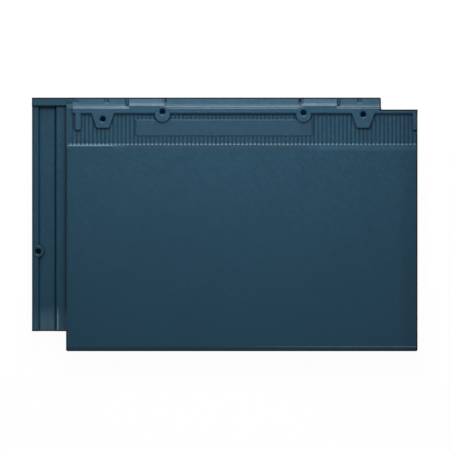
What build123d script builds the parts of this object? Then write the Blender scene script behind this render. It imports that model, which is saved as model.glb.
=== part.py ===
# A flat interlocking roof tile, pressed from clay and fired as one piece.
# Millimetres: x runs to the tile's right, y towards its head, z up from the floor it lies on.
# The origin is under the middle of the tile.
import os
from math import asin, degrees, floor

from build123d import *

# Overall size
tile_width = 450  # outer edge of the underlap to the right-hand edge
tile_length = 296  # head to nose
face_height = 31  # floor to the weathered face, so also the height of the nose
plate_thickness = 13
nose_thickness = 13
edge_radius = 1.8  # rounding of the long outer edges
corner_radius = 2  # rounding of the corners seen from above

# Bevel along the nose
bevel_length = 5.2
bevel_drop = 1.8
bevel_radius = 1.5

# Underlap on the left, which the cover of the tile beside it lies on
underlap_width = 40
underlap_setback = 23.2  # its foot stops this far behind the nose
channel_floor = 6  # clay under the water channel
channel_width = 18.3
lock_rib_height = 5.5
outer_rib_width = 7.5
wall_lean = 1.2  # how far the wall of a lock rib leans
lock_radius = 1.3
outlet_length = 29  # the foot of the underlap turns up over this length

# Cover on the right, which lies on the underlap of the tile beside it
cover_thickness = 7.5
lock_clearance = 2  # above the ribs and over the channel of the underlap
outlet_clearance = 0.4  # the same at the turned up foot
side_gap = 1  # between two bodies side by side
cover_margin = 2.7  # thin cover beyond the width of the underlap
lip_width = 5.5  # lip that hangs into the middle of the channel

# Underside
web_width = 12  # solid side beside the underlap
rib_width = 8
edge_rib_width = 10  # rib beside the cover
hollow_radius = 3
nib_width = 40
nib_thickness = 12
nib_chamfer = 3

# Ridge along the head
head_strip = 7.4  # strip between the edge and the ridge
strip_fall = 1.8  # it falls to the edge
ridge_height = 2.4  # above the face
ridge_depth = 13  # ramp, flat and back together
back_length = 2.2  # the back slopes down to the band
back_radius = 2
ramp_length = 5.8
knee_length = 3.3  # upper part of the ramp, steeper than the rest
knee_drop = 2.7
ridge_inset = 7.8  # left end of the ridge from the side of the body
relief_root = 1.6  # how deep the raised features are rooted in the plate
relief_draft = 14  # degrees that the walls of tabs and arms lean
relief_radius = 0.8
relief_corner = 2.2
step_length = 3.3  # the ramp stands this far forward between a bead and an inner flute
line_radius = 0.55  # fine line along the rest of the ramp
line_back = 12
notch_clearance = 4.8  # between the notch and the head bar of the tile beside it

# Head bar across the underlap
bar_depth = 9.3
bar_lean = 3.1  # how far its wall leans into the channel
bar_radius = 0.9
bar_drop = 4.5  # below the face
bar_ramp = 21  # it climbs to the strip over this length

# Tabs, bosses and arms on the ridge, set out in pairs about a line beside the middle of the body
head_shift = 10.3
tab_inset = 53.2
tab_root = 32.6  # at the crest of the ridge
tab_tip = 16
tab_length = 16.2  # from the ridge
boss_inset = 122.7
boss_diameter = 20
boss_lean = 0.9  # how far its wall leans
boss_back = 19.9  # from the head
boss_height = 0.6  # above the ridge
boss_chamfer = 0.7
left_arm_inset = 9.7
left_arm_width = 8.6
left_arm_back = 39
right_arm_width = 6.8
right_arm_back = 39.2

# Nail holes
nail_hole = 6.4
sink_diameter = 9
sink_angle = 110
left_tab_hole_back = 25.2
left_boss_hole_back = 16.6
right_boss_hole_back = 17.9
right_tab_hole_back = 19.9
side_boss_diameter = 14
side_boss_back = 179.6
side_boss_height = 0.5  # above the ribs of the underlap

# Beads and flutes across the head strip
bead_inset = 81.6
bead_radius = 1.9
bead_setback = 1.6  # short of the edge
bead_gap = 2.4  # from its middle to the stretch of ramp that stands forward
outer_flute_inset = 57.6
inner_flute_inset = 125
flute_radius = 4.5
flute_depth = 0.6  # at the edge

# Grooved band, which the nose of the tile above lies on
band_drop = 0.4  # below the face
band_length = 35
band_slope = 6.5  # the face curves down to the band over this length
groove_pitch = 4.776
groove_margin = 5.2  # first groove from the side of the body
groove_end = 3.5  # last groove from the right-hand edge
groove_width = 4.4
groove_floor = 2.7
groove_depth = 0.9
groove_ramp = 1.8  # sloping end of each groove
sill_width = 51.5  # the face runs level to the first grooves
sill_ramp = 0.7

# Bare plate in the band
panel_width = 205.6
panel_length = 18.8
panel_shift = 20.8  # its middle lies left of the middle of the body
panel_back = 25.7
panel_height = 0.5
panel_bevel = 0.9  # sloping margin
panel_drop = 0.45

# Places that follow from the sizes
left_edge = -tile_width / 2
right_edge = tile_width / 2
head = tile_length / 2
nose = -tile_length / 2
body_left = left_edge + underlap_width
body_width = right_edge - body_left
body_middle = (body_left + right_edge) / 2
plate_bottom = face_height - plate_thickness
cover_bottom = face_height - cover_thickness
lock_rib_top = cover_bottom - lock_clearance
channel_level = lock_rib_top - lock_rib_height
bearing_height = channel_level - channel_floor  # underside of ribs and underlap, which lies on the batten
cover_width = underlap_width + cover_margin
cover_left = right_edge - cover_width
working_width = tile_width - underlap_width + side_gap
channel_left = left_edge + outer_rib_width + wall_lean
channel_right = channel_left + channel_width
lip_middle = (channel_left + channel_right) / 2 + working_width
lip_bottom = channel_level + lock_clearance
underlap_foot = nose + underlap_setback
outlet_start = underlap_foot + outlet_length
outlet_rise = lock_clearance - outlet_clearance
notch_depth = bar_depth + notch_clearance
band_top = face_height - band_drop
bar_top = face_height - bar_drop
ridge_top = face_height + ridge_height
boss_top = ridge_top + boss_height
relief_base = band_top - relief_root
ridge_north = head - head_strip
ridge_south = ridge_north - ridge_depth
ridge_left = body_left + ridge_inset
crest = ridge_north - ramp_length
knee_level = ridge_top - knee_drop
strip_level = band_top - strip_fall * ramp_length / (head - crest)  # of the strip at the foot of the ramp
foot_slope = (knee_level - strip_level) / (ramp_length - knee_length)
ramp_foot = ridge_north + (strip_level - relief_base) / foot_slope
band_south = ridge_south - band_length
head_axis = body_middle - head_shift
tab_offset = body_width / 2 - tab_inset
boss_offset = body_width / 2 - boss_inset
rib_offset = (tab_offset + boss_offset) / 2  # ribs and nibs run midway between nail holes
bead_offset = body_width / 2 - bead_inset
outer_flute_offset = body_width / 2 - outer_flute_inset
inner_flute_offset = body_width / 2 - inner_flute_inset
side_boss_x = left_edge + side_boss_diameter / 2
side_boss_y = head - side_boss_back
side_boss_top = lock_rib_top + side_boss_height

# Body: the side view of a solid block, cut to the end view and to the plan
with BuildPart() as body:
    with BuildSketch(Plane.YZ.offset(body_left)) as side_view:
        with BuildLine():
            Polyline(
                (band_south, band_top),
                (crest, band_top),
                (head, band_top - strip_fall),
                (head, 0),
                (nose, 0),
                (nose, face_height - bevel_drop),
                (nose + bevel_length, face_height),
                (band_south - band_slope, face_height),
            )
            TangentArc((band_south - band_slope, face_height), (band_south, band_top), tangent=(1, 0))
        make_face()
        nose_corner = side_view.vertices().group_by(Axis.X)[0].sort_by(Axis.Y)[-1]
        head_corner = side_view.vertices().group_by(Axis.X)[-1].sort_by(Axis.Y)[-1]
        fillet([nose_corner, head_corner], bevel_radius)
    extrude(amount=body_width)
    with BuildSketch(Plane.XZ.offset(-head)) as end_view:
        with Locations((body_middle, 0)):
            Rectangle(body_width, face_height, align=(Align.CENTER, Align.MIN))
        fillet(end_view.vertices().group_by(Axis.Y)[-1], edge_radius)
    extrude(amount=tile_length, mode=Mode.INTERSECT)
    with BuildSketch() as plan:
        with Locations((body_middle, 0)):
            Rectangle(body_width, tile_length)
        with Locations((right_edge, head)):
            Rectangle(cover_width, notch_depth, align=(Align.MAX, Align.MAX), mode=Mode.SUBTRACT)
        fillet(plan.vertices(), corner_radius)
    extrude(amount=face_height, mode=Mode.INTERSECT)

    # Hollows of the underside, from the nose to the head
    with BuildSketch(Plane.XZ.offset(-head)) as hollows:
        with Locations((body_left + web_width, 0)):
            Rectangle(cover_left - body_left - web_width, plate_bottom, align=(Align.MIN, Align.MIN))
        rib_height = plate_bottom - bearing_height
        with Locations((head_axis, plate_bottom)):
            with GridLocations(rib_offset, 0, 3, 1):
                Rectangle(rib_width, rib_height, align=(Align.CENTER, Align.MAX), mode=Mode.SUBTRACT)
        with Locations((cover_left, plate_bottom)):
            Rectangle(edge_rib_width, rib_height, align=(Align.MAX, Align.MAX), mode=Mode.SUBTRACT)
        fillet(hollows.vertices().group_by(Axis.Y)[-1], hollow_radius)
        with Locations((body_left, 0)):
            Rectangle(web_width, bearing_height, align=(Align.MIN, Align.MIN))
        with Locations((cover_left, 0)):
            Rectangle(cover_width, cover_bottom, align=(Align.MIN, Align.MIN))
        lip_height = cover_bottom - lip_bottom
        with Locations((lip_middle, cover_bottom)):
            Rectangle(lip_width, lip_height, align=(Align.CENTER, Align.MAX), mode=Mode.SUBTRACT)
    extrude(amount=tile_length - nose_thickness, mode=Mode.SUBTRACT)

# Underlap: its section drawn down the tile, then turned up over the outlet at the foot
with BuildPart() as underlap:
    with BuildSketch(Plane.XZ.offset(-head)) as lock:
        with BuildLine():
            Polyline(
                (left_edge, bearing_height),
                (left_edge, lock_rib_top),
                (left_edge + outer_rib_width, lock_rib_top),
                (channel_left, channel_level),
                (channel_right, channel_level),
                (channel_right + wall_lean, lock_rib_top),
                (body_left + web_width, lock_rib_top),
                (body_left + web_width, bearing_height),
                close=True,
            )
        make_face()
        rib_corners = lock.vertices().group_by(Axis.Y)[-1].sort_by(Axis.X)[:-1]
        channel_corners = lock.vertices().filter_by(lambda v: v.Y == channel_level)
        fillet(rib_corners + channel_corners, lock_radius)
    extrude(amount=head - outlet_start)
    outlet_radius = (outlet_length**2 + outlet_rise**2) / (2 * outlet_rise)
    outlet_angle = degrees(asin((outlet_length + lock_rib_height) / outlet_radius))
    revolve(
        underlap.faces().sort_by(Axis.Y)[0],
        axis=Axis((0, outlet_start, bearing_height + outlet_radius), (-1, 0, 0)),
        revolution_arc=outlet_angle,
    )
    split(bisect_by=Plane.XZ.offset(-underlap_foot), keep=Keep.BOTTOM)

# Ridge along the head, drawn as its section, with tabs and arms raised to one level
with BuildPart() as relief:
    with BuildSketch(Plane.XY.offset(relief_base)) as raised:
        with Locations((head_axis - tab_offset, ridge_south), (head_axis + tab_offset, ridge_south)):
            Polygon(
                (-tab_root / 2, crest - ridge_south),
                (-tab_tip / 2, -tab_length),
                (tab_tip / 2, -tab_length),
                (tab_root / 2, crest - ridge_south),
                align=None,
            )
        with Locations((body_left + left_arm_inset, crest)):
            Rectangle(left_arm_width, crest - head + left_arm_back, align=(Align.MIN, Align.MAX))
        with Locations((right_edge, crest)):
            Rectangle(right_arm_width, crest - head + right_arm_back, align=(Align.MAX, Align.MAX))
        fillet(raised.vertices().filter_by(lambda v: v.Y < ridge_south), relief_corner)
    extrude(amount=ridge_top - relief_base, taper=relief_draft)
    top_edges = relief.faces().group_by(Axis.Z)[-1].edges()
    fillet(top_edges.filter_by(lambda e: e.center().Y < ridge_south), relief_radius)
    with BuildSketch(Plane.YZ.offset(ridge_left)) as section:
        with BuildLine():
            Polyline(
                (ramp_foot, relief_base),
                (crest + knee_length, knee_level),
                (crest, ridge_top),
                (ridge_south + back_length, ridge_top),
                (ridge_south, band_top),
                (ridge_south, relief_base),
                close=True,
            )
        make_face()
        fillet(section.vertices().group_by(Axis.Y)[-1].sort_by(Axis.X)[0], back_radius)
    extrude(amount=right_edge - ridge_left)
    with Locations((right_edge, head, relief_base)):
        notch_height = ridge_top - relief_base
        Box(
            cover_width,
            notch_depth,
            notch_height,
            align=(Align.MAX, Align.MAX, Align.MIN),
            mode=Mode.SUBTRACT,
        )

    # Two stretches of the ramp stand forward
    step_width = bead_offset - bead_gap - inner_flute_offset
    for step_left in (head_axis - bead_offset + bead_gap, head_axis + inner_flute_offset):
        with BuildSketch(Plane.YZ.offset(step_left)):
            with BuildLine():
                Polyline(
                    (crest, relief_base),
                    (crest, ridge_top),
                    (crest + step_length, ridge_top),
                    (crest + step_length + knee_length, knee_level),
                    (ramp_foot + step_length, relief_base),
                    close=True,
                )
            make_face()
        extrude(amount=step_width)

    # A fine line runs along two others
    line_y = head - line_back
    line_z = ridge_top - (line_y - crest) * knee_drop / knee_length
    line_starts = (head_axis - inner_flute_offset, head_axis + bead_offset)
    line_ends = (head_axis + inner_flute_offset, cover_left)
    for line_start, line_end in zip(line_starts, line_ends):
        with BuildSketch(Plane.YZ.offset(line_start)):
            with Locations((line_y, line_z)):
                Circle(line_radius)
        extrude(amount=line_end - line_start, mode=Mode.SUBTRACT)

# One groove of the band, with a sloping end towards the nose
with BuildPart() as groove:
    groove_run = crest - band_south
    with BuildSketch(Plane.XZ):
        with BuildLine():
            Polyline(
                (-groove_width / 2, band_top),
                (-groove_floor / 2, band_top - groove_depth),
                (groove_floor / 2, band_top - groove_depth),
                (groove_width / 2, band_top),
                close=True,
            )
        make_face()
    extrude(amount=groove_run)
    with BuildSketch(Plane.YZ):
        with BuildLine():
            Polyline(
                (0, band_top),
                (0, band_top - groove_depth),
                (groove_ramp - groove_run, band_top - groove_depth),
                (-groove_run, band_top),
                close=True,
            )
        make_face()
    extrude(amount=groove_width, both=True, mode=Mode.INTERSECT)

# One round boss of the ridge, turned from its profile
with BuildPart() as boss:
    boss_radius = boss_diameter / 2
    with BuildSketch(Plane.XZ):
        with BuildLine():
            Polyline(
                (0, relief_base),
                (boss_radius, relief_base),
                (boss_radius - boss_lean, boss_top - boss_chamfer),
                (boss_radius - boss_lean - boss_chamfer, boss_top),
                (0, boss_top),
                close=True,
            )
        make_face()
    revolve(axis=Axis.Z)

# Round boss that interrupts the outer rib of the underlap
with BuildPart() as side_boss:
    with BuildSketch(Plane.XY.offset(bearing_height)):
        Circle(side_boss_diameter / 2)
    extrude(amount=side_boss_top - bearing_height)
    chamfer(side_boss.edges().sort_by(Axis.Z)[-1], boss_chamfer)

# Bar across the head of the underlap, which closes the channel
with BuildPart() as head_bar:
    with BuildSketch(Plane.YZ.offset(left_edge)):
        with BuildLine():
            Polyline(
                (head, bearing_height),
                (head, bar_top),
                (head - bar_depth, bar_top),
                (head - bar_depth - bar_lean, channel_level),
                (head - bar_depth - bar_lean, bearing_height),
                close=True,
            )
        make_face()
    extrude(amount=underlap_width)
    bar_edges = head_bar.faces().sort_by(Axis.Z)[-1].edges()
    fillet(bar_edges.sort_by(Axis.X)[:-1], bar_radius)

# Bare plate in the grooved band
with BuildPart() as panel:
    with Locations((body_middle - panel_shift, head - panel_back, relief_base)):
        panel_rise = band_top + panel_height - relief_base
        Box(panel_width, panel_length, panel_rise, align=(Align.CENTER, Align.MAX, Align.MIN))
    panel_top = panel.faces().sort_by(Axis.Z)[-1]
    chamfer(panel_top.edges(), panel_bevel, panel_drop, reference=panel_top)

# The whole tile
with BuildPart() as roof_tile:
    add(body)

    # Flutes across the head strip, and the fall of the strip to the head bar
    flute_level = band_top - strip_fall - flute_depth + flute_radius
    with BuildSketch(Plane.XZ.offset(-head)):
        with Locations((head_axis, flute_level)):
            with GridLocations(2 * outer_flute_offset, 0, 2, 1):
                Circle(flute_radius)
            with GridLocations(2 * inner_flute_offset, 0, 2, 1):
                Circle(flute_radius)
    extrude(amount=head_strip, mode=Mode.SUBTRACT)
    with BuildSketch(Plane.XZ.offset(-head)):
        with BuildLine():
            Polyline(
                (body_left, bar_top),
                (body_left + bar_ramp, band_top),
                (body_left, band_top),
                close=True,
            )
        make_face()
    extrude(amount=head_strip, mode=Mode.SUBTRACT)

    # Sill and grooves of the band, before the raised features that stand on it
    first_groove = body_left + groove_margin
    with BuildSketch(Plane.YZ.offset(first_groove - groove_pitch / 2)):
        with BuildLine():
            Polyline(
                (band_south - band_slope, relief_base),
                (band_south - band_slope, face_height),
                (band_south - sill_ramp, face_height),
                (band_south, band_top),
                (band_south, relief_base),
                close=True,
            )
        make_face()
    extrude(amount=sill_width)
    groove_count = floor((body_width - groove_margin - groove_end) / groove_pitch) + 1
    with Locations((first_groove + groove_pitch * (groove_count - 1) / 2, crest)):
        with GridLocations(groove_pitch, 0, groove_count, 1):
            add(groove, mode=Mode.SUBTRACT)

    add(underlap)
    add(head_bar)
    add(relief)
    add(panel)
    with Locations((head_axis, head - boss_back)):
        with GridLocations(2 * boss_offset, 0, 2, 1):
            add(boss)
    with Locations((side_boss_x, side_boss_y)):
        add(side_boss)

    # Beads across the head strip
    with BuildSketch(Plane.XZ.offset(bead_setback - head)):
        with Locations((head_axis, band_top - bead_radius / 2)):
            with GridLocations(2 * bead_offset, 0, 2, 1):
                Circle(bead_radius)
    extrude(amount=head_strip)

    # Nibs that hang on the batten
    for nib_middle in (head_axis - rib_offset, head_axis + rib_offset):
        with BuildSketch(Plane.YZ.offset(nib_middle)) as nib:
            with Locations((head, 0)):
                Rectangle(nib_thickness, plate_bottom, align=(Align.MAX, Align.MIN))
            chamfer(nib.vertices().group_by(Axis.Y)[0].sort_by(Axis.X)[-1], nib_chamfer)
        extrude(amount=nib_width / 2, both=True)

    # Nail holes, sunk for the nail's head
    with Locations(
        (head_axis - tab_offset, head - left_tab_hole_back, ridge_top),
        (head_axis - boss_offset, head - left_boss_hole_back, boss_top),
        (head_axis + boss_offset, head - right_boss_hole_back, boss_top),
        (head_axis + tab_offset, head - right_tab_hole_back, ridge_top),
        (side_boss_x, side_boss_y, side_boss_top),
    ):
        CounterSinkHole(nail_hole / 2, sink_diameter / 2, counter_sink_angle=sink_angle)

roof_tile.part.label = "roof_tile"
os.makedirs("parts", exist_ok=True)
export_step(roof_tile.part, "parts/roof_tile.step")
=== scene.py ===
import math

import bpy
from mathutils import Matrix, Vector


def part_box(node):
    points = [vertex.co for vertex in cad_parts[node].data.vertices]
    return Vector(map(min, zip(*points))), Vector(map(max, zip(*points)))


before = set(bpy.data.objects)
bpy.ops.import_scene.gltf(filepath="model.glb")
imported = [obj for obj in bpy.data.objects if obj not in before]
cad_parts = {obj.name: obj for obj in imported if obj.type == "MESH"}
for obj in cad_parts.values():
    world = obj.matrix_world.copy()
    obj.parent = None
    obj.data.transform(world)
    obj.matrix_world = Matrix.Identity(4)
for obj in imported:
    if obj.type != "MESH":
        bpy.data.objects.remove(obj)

scene = bpy.context.scene
scene.view_settings.view_transform = "Standard"
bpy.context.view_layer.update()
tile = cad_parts["roof_tile"]
tileLow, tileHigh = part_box("roof_tile")
print("loaded the tile,", len(tile.data.polygons), "faces")


# Small helpers for node trees
noiseRange = (0.3, 0.7)  # a noise mostly stays within this
white = (1, 1, 1, 1)


def addNode(tree, kind, label, **settings):
    node = tree.nodes.new(kind)
    node.label = label
    for name, value in settings.items():
        setattr(node, name, value)
    return node


def feed(tree, socket, source):  # a plain value sets the socket, another socket is linked to it
    if isinstance(source, bpy.types.NodeSocket):
        tree.links.new(source, socket)
    else:
        socket.default_value = source


def doMath(tree, label, operation, *sources):
    node = addNode(tree, "ShaderNodeMath", label, operation=operation)
    for socket, source in zip(node.inputs, sources):
        feed(tree, socket, source)
    return node.outputs[0]


def distance(tree, label, value, middle):
    return doMath(tree, label, "ABSOLUTE", doMath(tree, label, "SUBTRACT", value, middle))


def ramp(tree, label, value, start, end, low=0.0, high=1.0, smooth=True):  # start..end becomes low..high
    kind = "SMOOTHSTEP" if smooth else "LINEAR"
    node = addNode(tree, "ShaderNodeMapRange", label, interpolation_type=kind)
    for socket, source in zip(node.inputs, (value, start, end, low, high)):
        feed(tree, socket, source)
    return node.outputs["Result"]


def mixColor(tree, label, factor, first, second, blend="MIX"):
    node = addNode(tree, "ShaderNodeMix", label, data_type="RGBA", blend_type=blend)
    feed(tree, node.inputs["Factor"], factor)
    feed(tree, node.inputs[6], first)
    feed(tree, node.inputs[7], second)
    return node.outputs[2]


def splitVector(tree, label, vector):
    node = addNode(tree, "ShaderNodeSeparateXYZ", label)
    feed(tree, node.inputs[0], vector)
    return node.outputs


def stretch(tree, label, vector, scale):  # a scale of its own on each axis
    node = addNode(tree, "ShaderNodeVectorMath", label, operation="MULTIPLY")
    feed(tree, node.inputs[0], vector)
    feed(tree, node.inputs[1], scale)
    return node.outputs[0]


def noise(tree, label, vector, scale, detail):
    node = addNode(tree, "ShaderNodeTexNoise", label)
    feed(tree, node.inputs["Vector"], vector)
    feed(tree, node.inputs["Scale"], scale)
    feed(tree, node.inputs["Detail"], detail)
    return node.outputs["Fac"]


def newGroup(name, inputs, outputs):
    group = bpy.data.node_groups.new(name, "ShaderNodeTree")
    for socketName, kind in inputs:
        group.interface.new_socket(socketName, in_out="INPUT", socket_type=kind)
    for socketName, kind in outputs:
        group.interface.new_socket(socketName, in_out="OUTPUT", socket_type=kind)
    source = addNode(group, "NodeGroupInput", "in").outputs
    sink = addNode(group, "NodeGroupOutput", "out").inputs
    return group, source, sink


def placeGroup(tree, group, label, **sources):
    node = addNode(tree, "ShaderNodeGroup", label, node_tree=group)
    for name, source in sources.items():
        feed(tree, node.inputs[name], source)
    return node.outputs


# Plan of the tile, in metres, for what follows its outline
plan = {
    "underlapWidth": 0.040,
    "underlapSetback": 0.0232,
    "coverWidth": 0.0427,
    "notchDepth": 0.0141,
}
bodyLeft = tileLow.x + plan["underlapWidth"]
coverLeft = tileHigh.x - plan["coverWidth"]


def makePlanDepth():  # how far inside the outline a point lies: body or full width, less the notch
    group, source, sink = newGroup(
        "planDepth",
        [("Place", "NodeSocketVector")],
        [("Depth", "NodeSocketFloat")],
    )
    parts = splitVector(group, "x and y", source["Place"])
    x, y = parts["X"], parts["Y"]

    def insideBox(label, left, right, near, far):  # half a side less the distance from its middle
        offX = distance(group, label, x, (left + right) / 2)
        offY = distance(group, label, y, (near + far) / 2)
        depthX = doMath(group, label, "SUBTRACT", (right - left) / 2, offX)
        depthY = doMath(group, label, "SUBTRACT", (far - near) / 2, offY)
        return doMath(group, label, "MINIMUM", depthX, depthY)

    body = insideBox("body", bodyLeft, tileHigh.x, tileLow.y, tileHigh.y)
    underlapFoot = tileLow.y + plan["underlapSetback"]
    across = insideBox("full width", tileLow.x, tileHigh.x, underlapFoot, tileHigh.y)
    pastNotchX = doMath(group, "left of the notch", "SUBTRACT", coverLeft, x)
    pastNotchY = doMath(group, "below the notch", "SUBTRACT", tileHigh.y - plan["notchDepth"], y)
    pastNotch = doMath(group, "outside the notch", "MAXIMUM", pastNotchX, pastNotchY)
    whole = doMath(group, "body or full width", "MAXIMUM", body, across)
    feed(group, sink["Depth"], doMath(group, "less the notch", "MINIMUM", whole, pastNotch))
    return group


planDepth = makePlanDepth()


# Camera: straight down on the weathered face, with a long lens
photo = {
    "lens": 400.0,
    "sensor": 36.0,
    "frameWidth": 0.52475,  # metres across the picture, at the face
    "faceHeight": 0.031,
    "centre": (0.0004, -0.00075),
    "clipEnd": 100.0,
}


def makeCamera():
    data = bpy.data.cameras.new("photoCamera")
    data.lens = photo["lens"]
    data.sensor_width = photo["sensor"]
    data.clip_end = photo["clipEnd"]
    camera = bpy.data.objects.new("photoCamera", data)
    standOff = photo["frameWidth"] * photo["lens"] / photo["sensor"]
    camera.location = (*photo["centre"], photo["faceHeight"] + standOff)
    scene.collection.objects.link(camera)
    scene.camera = camera


makeCamera()
print("camera looks straight down")


# Floor: pale, white to the camera, still shaded by the tile, with a painted shadow under it
floorLook = {
    "size": 40.0,
    "paint": (0.8, 0.8, 0.8, 1),
    "under": (0.006, 0.036, 0.080, 1),  # painted shadow under the tile, tinted blue
    "paintedShadowEdge": (0.004, 0.014),  # the painted shadow begins and is full this far inside the outline
    "seenPaint": (0.06, 0.06, 0.06, 1),
    "glow": 0.96,  # the rest of the white that the camera sees
    "glowEdge": 0.003,  # it ends this far inside the outline
}


def makeFloor():
    half = floorLook["size"] / 2
    corners = [(-half, -half, 0), (half, -half, 0), (half, half, 0), (-half, half, 0)]
    mesh = bpy.data.meshes.new("floor")
    mesh.from_pydata(corners, [], [(0, 1, 2, 3)])
    floor = bpy.data.objects.new("floor", mesh)
    floor.location.z = tileLow.z
    scene.collection.objects.link(floor)
    material = bpy.data.materials.new("paleFloor")
    material.use_nodes = True
    tree = material.node_tree
    tree.nodes.clear()
    rays = addNode(tree, "ShaderNodeLightPath", "which ray").outputs
    seen = doMath(tree, "camera or mirror", "MAXIMUM", rays["Is Camera Ray"], rays["Is Glossy Ray"])
    seen = doMath(tree, "or glass", "MAXIMUM", seen, rays["Is Transmission Ray"])
    place = addNode(tree, "ShaderNodeTexCoord", "place").outputs["Object"]
    depth = placeGroup(tree, planDepth, "under the tile", Place=place)["Depth"]
    # painted shadow: the floor is darkened by its place under the tile, for the camera too
    under = ramp(tree, "dark under the tile", depth, *floorLook["paintedShadowEdge"])
    plain = addNode(tree, "ShaderNodeBsdfDiffuse", "paint")
    paint = mixColor(tree, "paint", under, floorLook["paint"], floorLook["under"])
    feed(tree, plain.inputs["Color"], paint)
    shaded = addNode(tree, "ShaderNodeBsdfDiffuse", "shadow")
    seenPaint = mixColor(tree, "seen paint", under, floorLook["seenPaint"], floorLook["under"])
    feed(tree, shaded.inputs["Color"], seenPaint)
    glow = addNode(tree, "ShaderNodeEmission", "white")
    strength = ramp(tree, "glow", depth, 0.0, floorLook["glowEdge"], floorLook["glow"], 0.0)
    feed(tree, glow.inputs["Strength"], strength)
    both = addNode(tree, "ShaderNodeAddShader", "white with shadow")
    tree.links.new(glow.outputs[0], both.inputs[0])
    tree.links.new(shaded.outputs[0], both.inputs[1])
    choice = addNode(tree, "ShaderNodeMixShader", "seen or not")
    feed(tree, choice.inputs[0], seen)
    tree.links.new(plain.outputs[0], choice.inputs[1])
    tree.links.new(both.outputs[0], choice.inputs[2])
    out = addNode(tree, "ShaderNodeOutputMaterial", "out")
    tree.links.new(choice.outputs[0], out.inputs["Surface"])
    material.cycles.emission_sampling = "NONE"  # its white is for the camera, it lights nothing
    mesh.materials.append(material)


makeFloor()
print("floor laid")


# Light: a diffuser close over the head, three softboxes that show in the glaze, a weak fill, a dim sky
lamps = {
    "diffuser": {
        "place": (0.0, 0.36, 0.46), "aim": (0.0, 0.04, 0.03), "size": (0.46, 0.20),
        "watts": 0.95, "spread": 120.0, "mirrored": False,
    },
    "ceilingBox": {
        "place": (-0.02, 0.30, 0.90), "aim": (0.0, 0.06, 0.03), "size": (0.50, 0.30),
        "watts": 0.36, "spread": 140.0, "mirrored": True,
    },
    "tallBox": {
        "place": (-0.02, 0.85, 0.50), "aim": (0.0, 0.10, 0.03), "size": (0.50, 0.90),
        "watts": 2.4, "spread": 140.0, "mirrored": True,
    },
    "lowStrip": {
        "place": (0.02, 1.05, 0.22), "aim": (0.01, 0.10, 0.03), "size": (0.50, 0.14),
        "watts": 0.60, "spread": 90.0, "mirrored": True,
    },
    "noseFill": {
        "place": (0.15, -1.40, 0.28), "aim": (0.0, -0.10, 0.02), "size": (1.20, 0.40),
        "watts": 0.8, "spread": 120.0, "mirrored": False,
    },
}
skyLook = {"edge": 0.04, "top": 0.36}


def makeSoftbox(name, spec):
    data = bpy.data.lights.new(name, "AREA")
    data.shape = "RECTANGLE"
    data.size, data.size_y = spec["size"]
    data.energy = spec["watts"]
    data.spread = math.radians(spec["spread"])
    lamp = bpy.data.objects.new(name, data)
    lamp.location = spec["place"]
    towards = Vector(spec["aim"]) - Vector(spec["place"])
    lamp.rotation_euler = towards.to_track_quat("-Z", "Y").to_euler()
    lamp.visible_camera = False
    lamp.visible_glossy = spec["mirrored"]
    scene.collection.objects.link(lamp)


def makeSky():
    world = bpy.data.worlds.new("studio")
    scene.world = world
    world.use_nodes = True
    tree = world.node_tree
    tree.nodes.clear()
    direction = addNode(tree, "ShaderNodeTexCoord", "direction").outputs["Generated"]
    height = splitVector(tree, "height", direction)["Z"]
    sky = addNode(tree, "ShaderNodeBackground", "sky")
    shade = ramp(tree, "edge to top", height, 0.0, 1.0, skyLook["edge"], skyLook["top"])
    feed(tree, sky.inputs["Color"], shade)
    out = addNode(tree, "ShaderNodeOutputWorld", "out")
    tree.links.new(sky.outputs[0], out.inputs["Surface"])


for lampName, lampSpec in lamps.items():
    makeSoftbox(lampName, lampSpec)
makeSky()
print("studio lit with", len(lamps), "lamps")


# Grain of the fired glaze: clouds, mottling, fine grain, streaks from corner to corner, pin-sized specks
grain = {
    "cloudScale": 16.0, "cloudDetail": 3.0,
    "mottleScale": 210.0, "mottleDetail": 2.0,
    "fineScale": 900.0, "fineDetail": 1.0,
    "streakScale": (110.0, 900.0, 300.0),  # along the streaks, across them and up
    "streakTurn": math.radians(45.0), "streakDetail": 1.0,
    "speckScale": 95.0,
    "speckSize": (0.0275, 0.055),  # full in the middle, gone at the edge, as a share of a cell
    "speckShare": 0.80,  # specks only where the cell's own number is above this
}


def makeGrain():
    group, source, sink = newGroup(
        "glazeGrain",
        [("Place", "NodeSocketVector")],
        [("Cloud", "NodeSocketFloat"), ("Mottle", "NodeSocketFloat"), ("Fine", "NodeSocketFloat"),
         ("Streak", "NodeSocketFloat"), ("Speck", "NodeSocketFloat")],
    )
    place = source["Place"]
    for name in ("cloud", "mottle", "fine"):
        pattern = noise(group, name, place, grain[name + "Scale"], grain[name + "Detail"])
        feed(group, sink[name.capitalize()], pattern)
    turned = addNode(group, "ShaderNodeMapping", "along the streaks")
    feed(group, turned.inputs["Vector"], place)
    turned.inputs["Rotation"].default_value = (0, 0, grain["streakTurn"])
    drawn = stretch(group, "drawn out", turned.outputs[0], grain["streakScale"])
    feed(group, sink["Streak"], noise(group, "streaks", drawn, 1.0, grain["streakDetail"]))
    cells = addNode(group, "ShaderNodeTexVoronoi", "speck cells")
    feed(group, cells.inputs["Vector"], place)
    cells.inputs["Scale"].default_value = grain["speckScale"]
    number = addNode(group, "ShaderNodeSeparateColor", "cell number")
    feed(group, number.inputs[0], cells.outputs["Color"])
    spot = ramp(group, "spot", cells.outputs["Distance"], *grain["speckSize"], 1.0, 0.0)
    chosen = doMath(group, "few cells", "GREATER_THAN", number.outputs[0], grain["speckShare"])
    feed(group, sink["Speck"], doMath(group, "specks", "MULTIPLY", spot, chosen))
    return group


glazeGrain = makeGrain()


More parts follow.
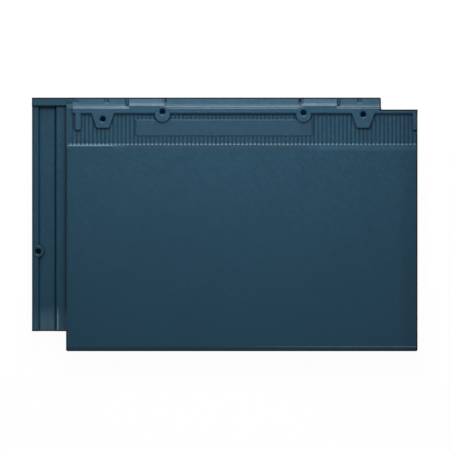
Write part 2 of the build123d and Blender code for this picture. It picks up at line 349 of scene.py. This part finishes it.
# Where the glaze stops: the underside is bare clay, and the glaze ends in a wavy line low on the sides
bareLook = {
    "plateBottom": 0.018,  # levels that the hollows reach up to
    "coverBottom": 0.0235,
    "underlapBottom": 0.010,
    "slack": 0.0012,  # a hollow counts from this far below them
    "inside": 0.0016,  # and from this far inside the outline
    "turnedDown": (-0.25, -0.55),
    "dripLine": (0.0015, 0.0050),  # it waves between these heights
    "dripScale": 55.0,
    "dripDetail": 2.0,
    "dripSoft": 0.0006,
}


def makeBareClay():  # 1 on bare clay: faces that look down, walls of the hollows, sides below the drips
    group, source, sink = newGroup(
        "bareClay",
        [("Place", "NodeSocketVector"), ("Facing", "NodeSocketVector"), ("Depth", "NodeSocketFloat")],
        [("Bare", "NodeSocketFloat")],
    )
    place = splitVector(group, "place", source["Place"])
    facing = splitVector(group, "facing", source["Facing"])
    down = ramp(group, "looks down", facing["Z"], *bareLook["turnedDown"])

    onBody = doMath(group, "on the body", "GREATER_THAN", place["X"], bodyLeft + bareLook["inside"])
    onCover = doMath(group, "on the cover", "GREATER_THAN", place["X"], coverLeft)
    underlap, plate = bareLook["underlapBottom"], bareLook["plateBottom"]
    ceiling = ramp(group, "underlap or plate", onBody, 0.0, 1.0, underlap, plate)
    ceiling = ramp(group, "or cover", onCover, 0.0, 1.0, ceiling, bareLook["coverBottom"])
    ceiling = doMath(group, "less slack", "SUBTRACT", ceiling, bareLook["slack"])
    below = doMath(group, "below it", "LESS_THAN", place["Z"], ceiling)
    inside = doMath(group, "inside the outline", "GREATER_THAN", source["Depth"], bareLook["inside"])
    hollow = doMath(group, "hollow", "MULTIPLY", below, inside)

    wave = noise(group, "wave", source["Place"], bareLook["dripScale"], bareLook["dripDetail"])
    drips = ramp(group, "drip line", wave, *noiseRange, *bareLook["dripLine"])
    short = doMath(group, "below the drips", "SUBTRACT", drips, place["Z"])
    unglazed = ramp(group, "soft drip edge", short, 0.0, bareLook["dripSoft"])
    either = doMath(group, "down or hollow", "MAXIMUM", down, hollow)
    feed(group, sink["Bare"], doMath(group, "or below the drips", "MAXIMUM", either, unglazed))
    return group


bareClay = makeBareClay()


# Painted light and shade on the glaze: the head painted lighter and greyer, painted shade at the cover's
# edge, in recesses and between the dots, painted highlights on the sill, the plate's edges and the foot
# of the underlap
zones = {
    "bodySoft": 0.003,  # what is on the body fades in over this, from its left side
    "sill": 0.0926,  # y of the line where the grooves end
    "headSoft": 0.0006,
    # painted light: the head is lighter and greyer, as if more lit
    "headPaintedLight": (1.85, 1.24, 1.20, 1),
    "coverEdge": (0.200, 0.2145),
    # painted shade, darker towards the cover's edge
    "coverPaintedShade": (0.84, 0.81, 0.83, 1),
    "slopeLength": 0.0085,  # the fall south of the sill, darkened by painted shade in the middle
    "slopePaintedShade": (0.82, 0.84, 0.85, 1),
    "slopeReach": (-0.125, -0.105, 0.085, 0.115),  # x where it starts, is full, still is and ends
    "slopeRightPaintedLight": (1.22, 1.22, 1.20, 1),  # past its end, lightened by painted light
    "crestFacing": (0.25, 0.55),  # painted highlight on the groove ends, which face the head
    "crestHalf": 0.0013,
    "crestHighlight": 0.46,
    "dotFirst": -0.1798,  # x of the first groove, and from groove to groove
    "dotPitch": 0.004776,
    "dotHalf": (0.0007, 0.0016),
    "gapPaintedShade": (0.78, 0.80, 0.82, 1),  # painted shade between the dots
    "lineBack": 0.0008,  # a painted highlight line beside the sill, on the left
    "lineHalf": 0.0009,
    "lineReach": (-0.145, -0.112),
    "lineHighlight": 0.60,
    "plate": ((-0.1016, 0.104), (0.1035, 0.1223)),  # x and y of the plate in the grooved band
    "plateSoft": 0.0002,
    # takes back part of the painted light of the head on the plate
    "plateLessPaintedLight": (0.84, 0.86, 0.88, 1),
    # painted highlights on the plate's edges, by the way they face
    "plateTurned": (0.10, 0.35),
    "plateNorthHighlight": 0.06,
    "plateSouthHighlight": 0.20,
    "paintedRecessShades": (  # painted shade in shallow places in the head strip: x, y and colour
        ((-0.0732, -0.0676), (0.1400, 0.150), (0.45, 0.60, 0.68, 1)),
        ((0.0862, 0.0920), (0.1405, 0.150), (0.02, 0.22, 0.40, 1)),
    ),
    "recessSoft": 0.0008,
    "outlet": (-0.0940, -0.1092),  # y where the painted highlight on the foot of the underlap starts, and is full
    "channel": (-0.2155, -0.1980),  # x of the channel's sides
    "channelSoft": 0.0006,
    "channelHighlight": 0.14,
    "ribHighlight": 0.045,
    "channelStreak": (600.0, 40.0, 0.0),  # streaks drawn along the channel
    "channelDetail": 1.0,
    "channelUneven": (0.6, 1.4),
    "footHighlights": ((-0.1949, 0.0009, 0.72), (-0.1856, 0.0009, 0.80)),  # painted highlight lines on the rib edges: x, half width and strength
}


# painted light and shade: a colour to multiply by, and a share of painted highlight
def makePaintedLightZones():
    group, source, sink = newGroup(
        "paintedLightZones",
        [("Place", "NodeSocketVector"), ("Facing", "NodeSocketVector")],
        [("Tint", "NodeSocketColor"), ("Pale", "NodeSocketFloat")],
    )
    parts = splitVector(group, "place", source["Place"])
    x, y = parts["X"], parts["Y"]
    northward = splitVector(group, "facing", source["Facing"])["Y"]
    sill = zones["sill"]

    def both(label, first, second):
        return doMath(group, label, "MULTIPLY", first, second)

    def either(label, first, second):
        return doMath(group, label, "MAXIMUM", first, second)

    def tint(label, mask, color, before):
        return mixColor(group, label, mask, before, color, "MULTIPLY")

    def stripe(label, axis, at, half, strength=1.0):  # a soft line across an axis
        return ramp(group, label, distance(group, label, axis, at), half / 2, half, strength, 0.0)

    def patch(label, sides, soft):  # 1 inside a box in plan
        mask = 1.0
        for axis, (low, high) in zip((x, y), sides):
            off = distance(group, label, axis, (low + high) / 2)
            half = (high - low) / 2
            mask = both(label, ramp(group, label, off, half, half + soft, 1.0, 0.0), mask)
        return mask

    onBody = ramp(group, "on the body", x, bodyLeft, bodyLeft + zones["bodySoft"])
    # painted light on the head past the sill
    head = both("head", ramp(group, "past the sill", y, sill, sill + zones["headSoft"]), onBody)
    color = tint("head", head, zones["headPaintedLight"], white)
    # painted shade towards the cover's edge
    cover = ramp(group, "cover edge", x, *zones["coverEdge"])
    color = tint("cover edge", cover, zones["coverPaintedShade"], color)

    # painted shade on the slope south of the sill in the middle, painted light on it towards the right
    slopeFull = sill - zones["slopeLength"] / 2
    rising = ramp(group, "up the slope", y, sill - zones["slopeLength"], slopeFull)
    slope = both("slope", rising, ramp(group, "to the sill", y, sill - zones["headSoft"], sill, 1.0, 0.0))
    start, full, still, end = zones["slopeReach"]
    fromLeft = ramp(group, "from the left", x, start, full)
    middle = both("middle", fromLeft, ramp(group, "to the right", x, still, end, 1.0, 0.0))
    color = tint("slope", both("slope in the middle", slope, middle), zones["slopePaintedShade"], color)
    onRight = both("slope on the right", slope, ramp(group, "past the middle", x, still, end))
    color = tint("slope on the right", onRight, zones["slopeRightPaintedLight"], color)

    # painted shade in the recesses of the head strip
    for across, along, shade in zones["paintedRecessShades"]:
        color = tint("recess", patch("recess", (across, along), zones["recessSoft"]), shade, color)
    # the plate is darkened, taking back part of the painted light on the head
    plate = patch("plate", zones["plate"], zones["plateSoft"])
    color = tint("plate", plate, zones["plateLessPaintedLight"], color)

    number = doMath(group, "from the first groove", "SUBTRACT", x, zones["dotFirst"])
    number = doMath(group, "groove number", "DIVIDE", number, zones["dotPitch"])
    offDot = distance(group, "off its groove", number, doMath(group, "nearest", "ROUND", number))
    offDot = doMath(group, "in metres", "MULTIPLY", offDot, zones["dotPitch"])
    dot = ramp(group, "dot", offDot, *zones["dotHalf"], 1.0, 0.0)
    crest = stripe("crest", y, sill + zones["crestHalf"] / 2, zones["crestHalf"])
    # painted shade on the crest between the dots
    gap = both("gap", crest, doMath(group, "no dot", "SUBTRACT", 1.0, dot))
    feed(group, sink["Tint"], tint("gaps between the dots", gap, zones["gapPaintedShade"], color))

    # painted highlights on the groove ends that face the head
    paleness = ramp(group, "faces the head", northward, *zones["crestFacing"], 0.0, zones["crestHighlight"])
    dots = both("pale dots", both("dots on the crest", crest, dot), paleness)
    # painted highlight line beside the sill
    leftPart = ramp(group, "left part", x, *zones["lineReach"], zones["lineHighlight"], 0.0)
    line = both("pale line", stripe("line", y, sill - zones["lineBack"], zones["lineHalf"]), leftPart)
    # painted highlights on the plate's north and south edges
    low, high = zones["plateTurned"]
    north = ramp(group, "plate's north edge", northward, low, high, 0.0, zones["plateNorthHighlight"])
    south = ramp(group, "plate's south edge", northward, -high, -low, zones["plateSouthHighlight"], 0.0)
    plateEdges = both("plate's edges", doMath(group, "north or south", "ADD", north, south), plate)
    pale = either("or plate's edges", either("dots or line", dots, line), plateEdges)
    pale = both("pale on the body", pale, onBody)

    # painted highlights on the foot of the underlap: channel, ribs and rib edges
    offBody = ramp(group, "beside the body", onBody, 0.0, 1.0, 1.0, 0.0)
    foot = both("foot of the underlap", ramp(group, "outlet", y, *zones["outlet"]), offBody)
    left, right = zones["channel"]
    offChannel = distance(group, "off the channel", x, (left + right) / 2)
    wall = (right - left) / 2
    softWall = (wall, wall + zones["channelSoft"])
    thin = ramp(group, "channel or rib", offChannel, *softWall, zones["channelHighlight"], zones["ribHighlight"])
    drawn = stretch(group, "drawn along", source["Place"], zones["channelStreak"])
    streaks = noise(group, "drawn streaks", drawn, 1.0, zones["channelDetail"])
    streaks = ramp(group, "uneven", streaks, *noiseRange, *zones["channelUneven"])
    thin = both("streaked", thin, streaks)
    for at, half, strength in zones["footHighlights"]:
        thin = either("with a line", thin, stripe("foot line", x, at, half, strength))
    feed(group, sink["Pale"], either("body or foot", pale, both("thin at the foot", thin, foot)))
    return group


paintedLightZones = makePaintedLightZones()
print("grain, bare clay and zones ready")


# Glaze of the tile
glaze = {
    "deep": (0.0070, 0.0425, 0.0765, 1),
    "pale": (0.0095, 0.0505, 0.0870, 1),
    "paintedShadeRim": (0.0012, 0.0060, 0.0120, 1),  # painted shade along the outer edges, which are also dull
    "rimDepth": (0.0010, 0.0021),
    "rimFacing": (0.05, 0.30),  # it fades out where the edge turns into the wall
    "mottle": 0.11,  # share by which each kind of grain lightens and darkens the colour
    "fine": 0.18,
    "streak": 0.15,
    "grainReach": (-0.120, 0.075),  # it is calmer towards the nose, and full towards the head
    "grainCalm": 0.22,
    "speck": (0.060, 0.120, 0.165, 1),
    "thin": (0.160, 0.260, 0.340, 1),  # painted highlight on the crests, the plate's edges and the foot of the underlap
    "paintedCornerShade": (0.0020, 0.0110, 0.0230, 1),  # painted shade in the inner corners
    "cornerShadeReach": 0.0035,
    "cornerShadeFrom": (0.60, 0.92),  # open sky over a point, as a share: full painted shade and none
    "cornerShadeShare": 0.65,
    "skySamples": 8,
    "arrisHighlight": (0.085, 0.160, 0.225, 1),  # painted highlight line along the upper edge of the nose's bevel
    "arrisBack": 0.0052,  # from the nose
    "arrisHalf": 0.0010,
    "arrisFrom": (-0.04, 0.16),  # it grows from left to right
    "arrisMottle": (0.25, 0.60),  # the mottling thins it, down to arrisLeast
    "arrisLeast": 0.65,
    "clay": (0.330, 0.135, 0.070, 1),  # bare clay of the underside
    "clayDark": (0.235, 0.085, 0.045, 1),
    "roughness": (0.31, 0.41),  # over the mottling
    "rimRoughness": 0.80,
    "clayRoughness": 0.9,
    "specular": 0.5,
    "specularTint": (0.72, 0.89, 1.0, 1),
    "bump": 0.25,
    "bumpHeight": 0.00012,
    "peelFine": 0.4,  # shares of the fine grain and the streaks beside the mottling
    "peelStreak": 0.6,
}


def grainShade(tree, marks, y):  # lightens and darkens about 1
    shade = 1.0
    for name in ("mottle", "fine", "streak"):
        least, most = 1.0 - glaze[name], 1.0 + glaze[name]
        share = ramp(tree, name, marks[name.capitalize()], *noiseRange, least, most, smooth=False)
        shade = doMath(tree, "with " + name, "MULTIPLY", share, shade)
    reach = glaze["grainReach"]
    strength = ramp(tree, "calmer to the nose", y, *reach, glaze["grainCalm"], 1.0, smooth=False)
    return ramp(tree, "grain", strength, 0.0, 1.0, 1.0, shade, smooth=False)


def noseArrisHighlight(tree, marks, x, y):
    off = distance(tree, "off the arris", y, tileLow.y + glaze["arrisBack"])
    line = ramp(tree, "arrisHighlight", off, 0.0, glaze["arrisHalf"], 1.0, 0.0)
    along = ramp(tree, "grows to the right", x, *glaze["arrisFrom"])
    uneven = ramp(tree, "uneven line", marks["Mottle"], *glaze["arrisMottle"], glaze["arrisLeast"], 1.0)
    return doMath(tree, "pale arris", "MULTIPLY", line, doMath(tree, "uneven", "MULTIPLY", along, uneven))


def glazeColor(tree, place, marks, paintedZone, paintedShadeRim, bare):
    parts = splitVector(tree, "x and y", place)
    color = mixColor(tree, "clouds", marks["Cloud"], glaze["deep"], glaze["pale"])
    grained = addNode(tree, "ShaderNodeVectorMath", "grain on colour", operation="SCALE")
    feed(tree, grained.inputs[0], color)
    feed(tree, grained.inputs["Scale"], grainShade(tree, marks, parts["Y"]))
    color = mixColor(tree, "zones on colour", 1.0, grained.outputs[0], paintedZone["Tint"], "MULTIPLY")
    color = mixColor(tree, "specks", marks["Speck"], color, glaze["speck"])
    # painted highlights mixed into the colour
    color = mixColor(tree, "thin on the sill and foot", paintedZone["Pale"], color, glaze["thin"])
    # painted shade: darker where less sky is open over a point
    sky = addNode(
        tree, "ShaderNodeAmbientOcclusion", "open sky", samples=glaze["skySamples"], only_local=True
    )
    sky.inputs["Distance"].default_value = glaze["cornerShadeReach"]
    paintedCornerShade = ramp(tree, "paintedCornerShade", sky.outputs["AO"], *glaze["cornerShadeFrom"], glaze["cornerShadeShare"], 0.0)
    color = mixColor(tree, "paintedCornerShades", paintedCornerShade, color, glaze["paintedCornerShade"])
    # painted highlight along the nose's bevel
    arrisHighlight = noseArrisHighlight(tree, marks, parts["X"], parts["Y"])
    color = mixColor(tree, "pale arris", arrisHighlight, color, glaze["arrisHighlight"])
    color = mixColor(tree, "dark rim", paintedShadeRim, color, glaze["paintedShadeRim"])
    clay = mixColor(tree, "clay", marks["Mottle"], glaze["clayDark"], glaze["clay"])
    return mixColor(tree, "bare or glazed", bare, color, clay)


def glazeRoughness(tree, marks, paintedShadeRim, bare):
    rough = ramp(tree, "satin", marks["Mottle"], *noiseRange, *glaze["roughness"], smooth=False)
    rough = ramp(tree, "rim is dull", paintedShadeRim, 0.0, 1.0, rough, glaze["rimRoughness"])
    return ramp(tree, "clay is dull", bare, 0.0, 1.0, rough, glaze["clayRoughness"])


def glazePeel(tree, marks):
    fine = doMath(tree, "some fine grain", "MULTIPLY", marks["Fine"], glaze["peelFine"])
    streaks = doMath(tree, "some streaks", "MULTIPLY", marks["Streak"], glaze["peelStreak"])
    height = doMath(tree, "mottling and fine grain", "ADD", marks["Mottle"], fine)
    bump = addNode(tree, "ShaderNodeBump", "peel of the glaze")
    bump.inputs["Strength"].default_value = glaze["bump"]
    bump.inputs["Distance"].default_value = glaze["bumpHeight"]
    feed(tree, bump.inputs["Height"], doMath(tree, "and streaks", "ADD", height, streaks))
    return bump.outputs[0]


def makeGlaze():
    material = bpy.data.materials.new("glazedClay")
    material.use_nodes = True
    tree = material.node_tree
    tree.nodes.clear()
    place = addNode(tree, "ShaderNodeTexCoord", "place").outputs["Object"]
    facing = addNode(tree, "ShaderNodeNewGeometry", "facing").outputs["True Normal"]
    depth = placeGroup(tree, planDepth, "from the outline", Place=place)["Depth"]
    marks = placeGroup(tree, glazeGrain, "grain", Place=place)
    paintedZone = placeGroup(tree, paintedLightZones, "zones", Place=place, Facing=facing)
    bare = placeGroup(tree, bareClay, "bare clay", Place=place, Facing=facing, Depth=depth)["Bare"]
    upward = splitVector(tree, "facing up", facing)["Z"]
    offWalls = ramp(tree, "not on the walls", upward, *glaze["rimFacing"])
    # painted shade near the outline, on the upper faces only; the same mask dulls the roughness
    paintedShadeRim = ramp(tree, "near the outline", depth, *glaze["rimDepth"], 1.0, 0.0)
    paintedShadeRim = doMath(tree, "paintedShadeRim", "MULTIPLY", paintedShadeRim, offWalls)

    shader = addNode(tree, "ShaderNodeBsdfPrincipled", "satin glaze")
    feed(tree, shader.inputs["Base Color"], glazeColor(tree, place, marks, paintedZone, paintedShadeRim, bare))
    feed(tree, shader.inputs["Roughness"], glazeRoughness(tree, marks, paintedShadeRim, bare))
    feed(tree, shader.inputs["Normal"], glazePeel(tree, marks))
    shader.inputs["Specular IOR Level"].default_value = glaze["specular"]
    shader.inputs["Specular Tint"].default_value = glaze["specularTint"]
    out = addNode(tree, "ShaderNodeOutputMaterial", "out")
    tree.links.new(shader.outputs[0], out.inputs["Surface"])
    return material


tile.material_slots[0].material = makeGlaze()
print("glaze on")
